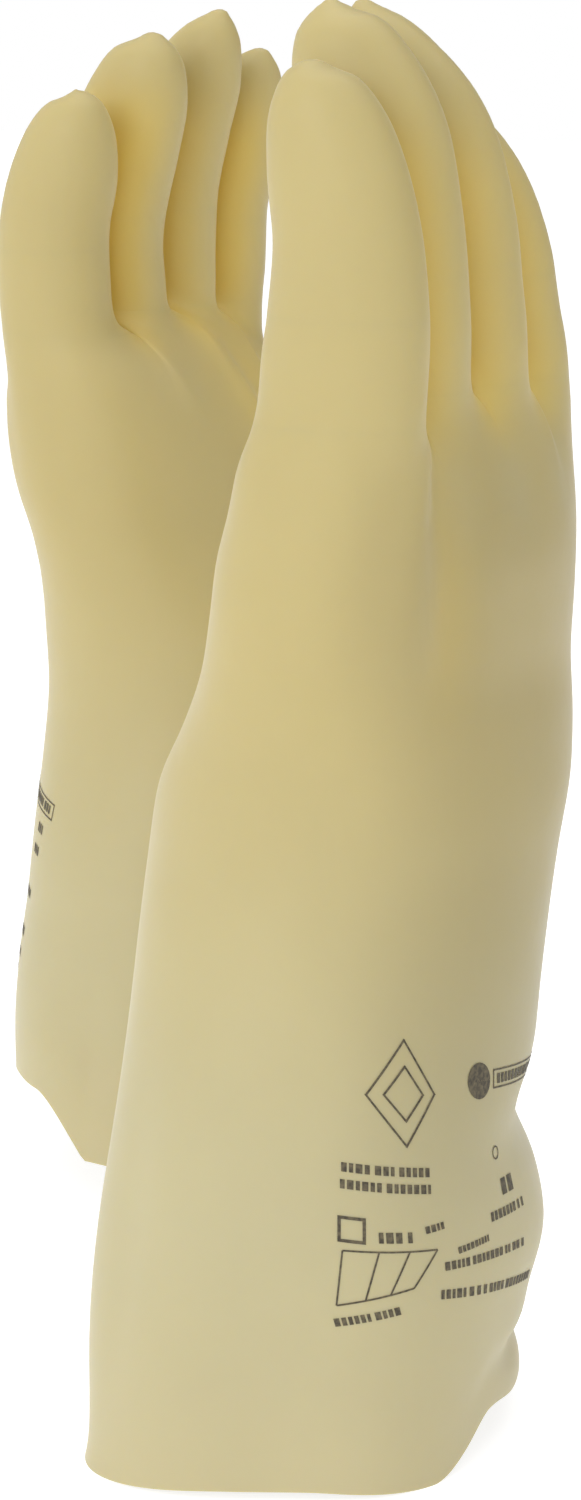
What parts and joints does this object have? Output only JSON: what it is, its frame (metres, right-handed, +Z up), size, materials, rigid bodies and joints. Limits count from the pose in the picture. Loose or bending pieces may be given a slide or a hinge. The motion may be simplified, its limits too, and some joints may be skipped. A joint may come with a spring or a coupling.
{
  "type": "electrical insulating gloves",
  "caption": "Left and right dipped latex insulating gloves with long cuffs, standing upright with palms facing; wrists, fingers and thumbs bend.",
  "frame": {"origin": "centre of the bounding box of both gloves, on the surface that their cuffs stand on", "axes": "+Z up along the gloves to the fingertips; X is normal to the palms, the left glove at +X with its palm towards -X; +Y runs from the little fingers to the thumbs"},
  "size_m": [0.2536, 0.3404, 0.3598],
  "materials": {
    "latex": "satin cream natural latex"
  },
  "bodies": {
    "left_cuff": {"left_cuff": "latex"},
    "left_hand": {"left_hand": "latex"},
    "left_thumb_base": {"left_thumb_base": "latex"},
    "left_thumb_tip": {"left_thumb_tip": "latex"},
    "left_index_base": {"left_index_base": "latex"},
    "left_index_tip": {"left_index_tip": "latex"},
    "left_middle_base": {"left_middle_base": "latex"},
    "left_middle_tip": {"left_middle_tip": "latex"},
    "left_ring_base": {"left_ring_base": "latex"},
    "left_ring_tip": {"left_ring_tip": "latex"},
    "left_little_base": {"left_little_base": "latex"},
    "left_little_tip": {"left_little_tip": "latex"},
    "right_cuff": {"right_cuff": "latex"},
    "right_hand": {"right_hand": "latex"},
    "right_thumb_base": {"right_thumb_base": "latex"},
    "right_thumb_tip": {"right_thumb_tip": "latex"},
    "right_index_base": {"right_index_base": "latex"},
    "right_index_tip": {"right_index_tip": "latex"},
    "right_middle_base": {"right_middle_base": "latex"},
    "right_middle_tip": {"right_middle_tip": "latex"},
    "right_ring_base": {"right_ring_base": "latex"},
    "right_ring_tip": {"right_ring_tip": "latex"},
    "right_little_base": {"right_little_base": "latex"},
    "right_little_tip": {"right_little_tip": "latex"}
  },
  "joints": [
    {"name": "left_wrist", "type": "hinge", "parent": "left_cuff", "child": "left_hand", "pos_m": [0.07725, -0.0933, 0.168], "axis": [0, -1, 0], "range_deg": [0, 28], "stiffness_Nm_per_rad": 1.5},
    {"name": "left_thumb_root", "type": "hinge", "parent": "left_hand", "child": "left_thumb_base", "pos_m": [0.05574, -0.02976, 0.215], "axis": [0.5393, -0.6784, 0.4989], "range_deg": [0, 38], "stiffness_Nm_per_rad": 0.1},
    {"name": "left_thumb_bend", "type": "hinge", "parent": "left_thumb_base", "child": "left_thumb_tip", "pos_m": [0.04956, -0.0202, 0.236], "axis": [0.5544, -0.6974, 0.4541], "range_deg": [0, 38], "stiffness_Nm_per_rad": 0.1},
    {"name": "left_index_root", "type": "hinge", "parent": "left_hand", "child": "left_index_base", "pos_m": [0.09616, -0.05893, 0.278], "axis": [0, -1, 0], "range_deg": [0, 50], "stiffness_Nm_per_rad": 0.1},
    {"name": "left_index_bend", "type": "hinge", "parent": "left_index_base", "child": "left_index_tip", "pos_m": [0.09025, -0.06078, 0.308], "axis": [0, -1, 0], "range_deg": [0, 55], "stiffness_Nm_per_rad": 0.1},
    {"name": "left_middle_root", "type": "hinge", "parent": "left_hand", "child": "left_middle_base", "pos_m": [0.09878, -0.08498, 0.28], "axis": [0, -1, 0], "range_deg": [0, 50], "stiffness_Nm_per_rad": 0.1},
    {"name": "left_middle_bend", "type": "hinge", "parent": "left_middle_base", "child": "left_middle_tip", "pos_m": [0.09554, -0.0864, 0.314], "axis": [0, -1, 0], "range_deg": [0, 55], "stiffness_Nm_per_rad": 0.1},
    {"name": "left_ring_root", "type": "hinge", "parent": "left_hand", "child": "left_ring_base", "pos_m": [0.09891, -0.11388, 0.28], "axis": [0, -1, 0], "range_deg": [0, 50], "stiffness_Nm_per_rad": 0.1},
    {"name": "left_ring_bend", "type": "hinge", "parent": "left_ring_base", "child": "left_ring_tip", "pos_m": [0.09683, -0.11439, 0.312], "axis": [0, -1, 0], "range_deg": [0, 55], "stiffness_Nm_per_rad": 0.1},
    {"name": "left_little_root", "type": "hinge", "parent": "left_hand", "child": "left_little_base", "pos_m": [0.09911, -0.14108, 0.273], "axis": [0, -1, 0], "range_deg": [0, 50], "stiffness_Nm_per_rad": 0.1},
    {"name": "left_little_bend", "type": "hinge", "parent": "left_little_base", "child": "left_little_tip", "pos_m": [0.10031, -0.14168, 0.302], "axis": [0, -1, 0], "range_deg": [0, 55], "stiffness_Nm_per_rad": 0.1},
    {"name": "right_wrist", "type": "hinge", "parent": "right_cuff", "child": "right_hand", "pos_m": [-0.07725, 0.0807, 0.168], "axis": [0, 1, 0], "range_deg": [0, 28], "stiffness_Nm_per_rad": 1.5},
    {"name": "right_thumb_root", "type": "hinge", "parent": "right_hand", "child": "right_thumb_base", "pos_m": [-0.05574, 0.14424, 0.215], "axis": [0.5393, 0.6784, -0.4989], "range_deg": [0, 38], "stiffness_Nm_per_rad": 0.1},
    {"name": "right_thumb_bend", "type": "hinge", "parent": "right_thumb_base", "child": "right_thumb_tip", "pos_m": [-0.04956, 0.1538, 0.236], "axis": [0.5544, 0.6974, -0.4541], "range_deg": [0, 38], "stiffness_Nm_per_rad": 0.1},
    {"name": "right_index_root", "type": "hinge", "parent": "right_hand", "child": "right_index_base", "pos_m": [-0.0962, 0.11509, 0.278], "axis": [0, 1, 0], "range_deg": [0, 50], "stiffness_Nm_per_rad": 0.1},
    {"name": "right_index_bend", "type": "hinge", "parent": "right_index_base", "child": "right_index_tip", "pos_m": [-0.09132, 0.11337, 0.308], "axis": [0, 1, 0], "range_deg": [0, 55], "stiffness_Nm_per_rad": 0.1},
    {"name": "right_middle_root", "type": "hinge", "parent": "right_hand", "child": "right_middle_base", "pos_m": [-0.09865, 0.08911, 0.28], "axis": [0, 1, 0], "range_deg": [0, 50], "stiffness_Nm_per_rad": 0.1},
    {"name": "right_middle_bend", "type": "hinge", "parent": "right_middle_base", "child": "right_middle_tip", "pos_m": [-0.09437, 0.08831, 0.314], "axis": [0, 1, 0], "range_deg": [0, 55], "stiffness_Nm_per_rad": 0.1},
    {"name": "right_ring_root", "type": "hinge", "parent": "right_hand", "child": "right_ring_base", "pos_m": [-0.09877, 0.0601, 0.28], "axis": [0, 1, 0], "range_deg": [0, 50], "stiffness_Nm_per_rad": 0.1},
    {"name": "right_ring_bend", "type": "hinge", "parent": "right_ring_base", "child": "right_ring_tip", "pos_m": [-0.0944, 0.05921, 0.312], "axis": [0, 1, 0], "range_deg": [0, 55], "stiffness_Nm_per_rad": 0.1},
    {"name": "right_little_root", "type": "hinge", "parent": "right_hand", "child": "right_little_base", "pos_m": [-0.09909, 0.03291, 0.273], "axis": [0, 1, 0], "range_deg": [0, 50], "stiffness_Nm_per_rad": 0.1},
    {"name": "right_little_bend", "type": "hinge", "parent": "right_little_base", "child": "right_little_tip", "pos_m": [-0.09851, 0.03207, 0.302], "axis": [0, 1, 0], "range_deg": [0, 55], "stiffness_Nm_per_rad": 0.1},
    {"name": "right_glove_slide", "type": "slide", "parent": "left_cuff", "child": "right_cuff", "axis": [-1, 0, 0], "range_m": [0, 0.12]}
  ]
}
